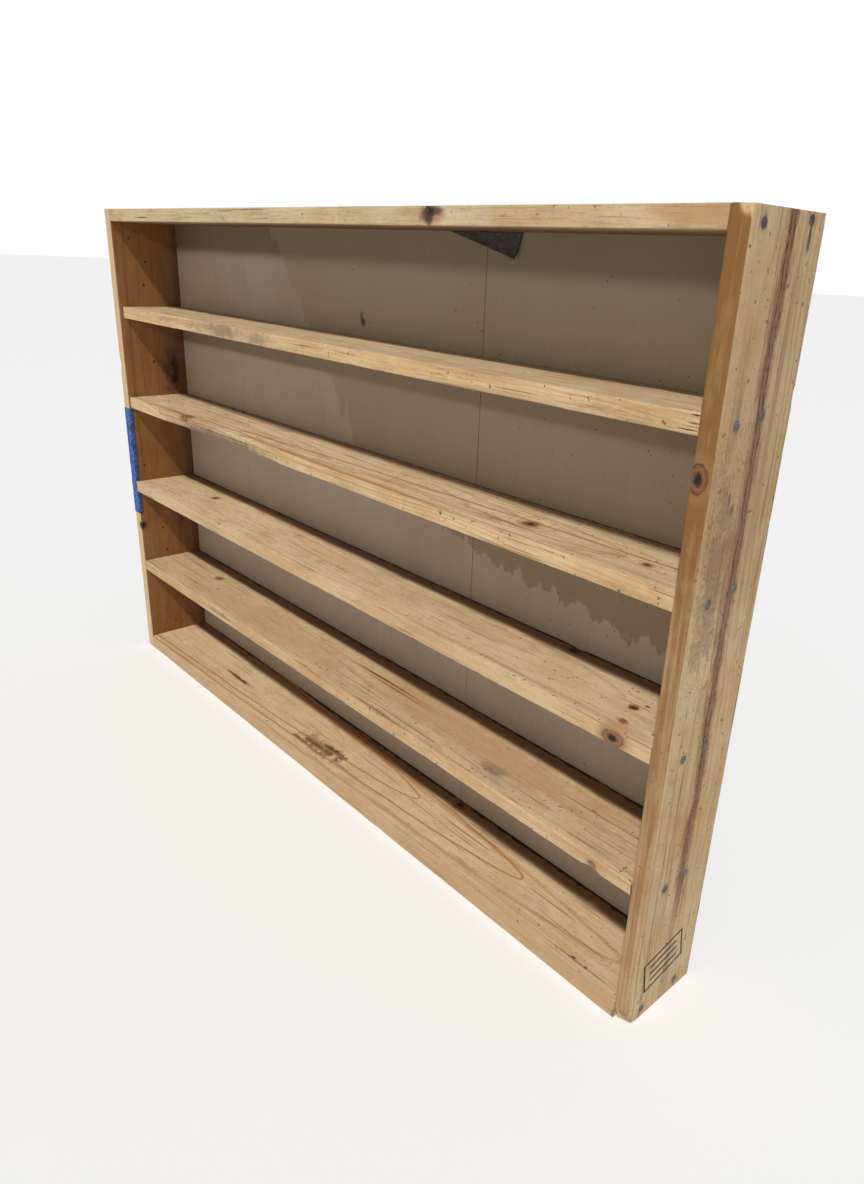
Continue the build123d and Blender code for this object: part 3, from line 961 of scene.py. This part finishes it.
def make_tape():
    """A crinkled strip over the front of the left side, folded onto its inner face."""
    low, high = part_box("painter_tape")
    outer, inner = low.x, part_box("left_side")[1].x
    wrap = high.y - FRONT
    width = inner - outer
    mesh = bmesh.new()
    rows = []
    stations, across = 150, 26
    for station in range(stations + 1):
        z = low.z + (high.z - low.z) * station / stations
        row = []
        for step in range(across + 1):
            run = (width + wrap) * step / across
            if run <= width:
                point = Vector((outer + run, FRONT, z))
                out = Vector((0, -1, 0))
            else:
                point = Vector((inner, FRONT + run - width, z))
                out = Vector((1, 0, 0))
            crinkle = 0.5 + 0.5 * wobble(51, run * 160, z * 110)
            ridge = max(0.0, wobble(52, run * 70, z * 210)) ** 2
            lift = 0.00015 + 0.00035 * crinkle + 0.0007 * ridge
            if step in (0, across):
                point.z += 0.0012 * wobble(53, z * 300, run)
            row.append(mesh.verts.new(point + out * lift))
        rows.append(row)
    for first, second in zip(rows, rows[1:]):
        for index in range(across):
            mesh.faces.new((first[index], first[index + 1], second[index + 1], second[index]))
    bmesh.ops.recalc_face_normals(mesh, faces=mesh.faces)
    finish_piece("crinkled_tape", mesh, tape_material(), "painter_tape", 0.00022)


make_scrap()
make_tape()


# ---------------------------------------------------------------- floor, light and camera

FLOOR_RADIUS = 40.0
FLOOR_GAP = 0.0005
AMBIENT = 0.26


def make_floor():
    """A wide pale floor under the rack."""
    mesh = bmesh.new()
    bmesh.ops.create_circle(mesh, cap_ends=True, cap_tris=False, radius=FLOOR_RADIUS, segments=96)
    data = bpy.data.meshes.new("floor")
    mesh.to_mesh(data)
    mesh.free()
    floor = bpy.data.objects.new("floor", data)
    floor.location.z = -FLOOR_GAP
    bpy.context.scene.collection.objects.link(floor)
    graph = Graph("floor_pale")
    soft = graph.noise(graph.place, 3.0, 2.0)
    graph.feed(graph.shader.inputs["Base Color"],
               graph.mix(soft, (0.925, 0.950, 0.975), (0.935, 0.960, 0.985)))
    graph.shader.inputs["Roughness"].default_value = 0.9
    graph.shader.inputs["Specular IOR Level"].default_value = 0.1
    data.materials.append(graph.material)


def make_sun(name, towards_light, strength, angle, colour):
    """A distant light, from the direction given. Its angle, in degrees, softens its shadows."""
    light = bpy.data.lights.new(name, "SUN")
    light.energy = strength
    light.angle = math.radians(angle)
    light.color = colour
    lamp = bpy.data.objects.new(name, light)
    lamp.rotation_euler = Vector(towards_light).to_track_quat("Z", "Y").to_euler()
    bpy.context.scene.collection.objects.link(lamp)


def make_world(ambient):
    """Even white surroundings, bright behind the object and gentler as a light."""
    world = bpy.data.worlds.new("studio")
    world.use_nodes = True
    tree = world.node_tree
    tree.nodes.clear()
    seen = tree.nodes.new("ShaderNodeBackground")
    lit = tree.nodes.new("ShaderNodeBackground")
    path = tree.nodes.new("ShaderNodeLightPath")
    mixer = tree.nodes.new("ShaderNodeMixShader")
    output = tree.nodes.new("ShaderNodeOutputWorld")
    seen.inputs[0].default_value = (1.0, 1.0, 1.0, 1.0)
    lit.inputs[0].default_value = (1.0, 0.985, 0.965, 1.0)
    lit.inputs[1].default_value = ambient
    tree.links.new(path.outputs["Is Camera Ray"], mixer.inputs[0])
    tree.links.new(lit.outputs[0], mixer.inputs[1])
    tree.links.new(seen.outputs[0], mixer.inputs[2])
    tree.links.new(mixer.outputs[0], output.inputs[0])
    bpy.context.scene.world = world


def make_camera():
    """A wide lens in front of the rack and past its right end, a little below its top."""
    lens = bpy.data.cameras.new("camera")
    lens.sensor_width = 36.0
    lens.lens = 25.43
    lens.shift_x = -0.0362
    lens.shift_y = -0.0044
    lens.clip_end = 200.0
    camera = bpy.data.objects.new("camera", lens)
    camera.location = (0.9602, -0.6610, 0.7691)
    camera.rotation_euler = Euler([math.radians(angle) for angle in (68.5005, -2.7031, 46.8915)])
    bpy.context.scene.collection.objects.link(camera)
    bpy.context.scene.camera = camera


make_floor()
make_sun("key", (0.33, -0.545, 0.839), 2.5, 2.5, (1.0, 0.975, 0.94))
make_sun("fill", (0.45, -0.80, 0.32), 0.62, 6.0, (1.0, 0.98, 0.95))
make_world(AMBIENT)
make_camera()
bpy.context.scene.view_settings.view_transform = "Standard"
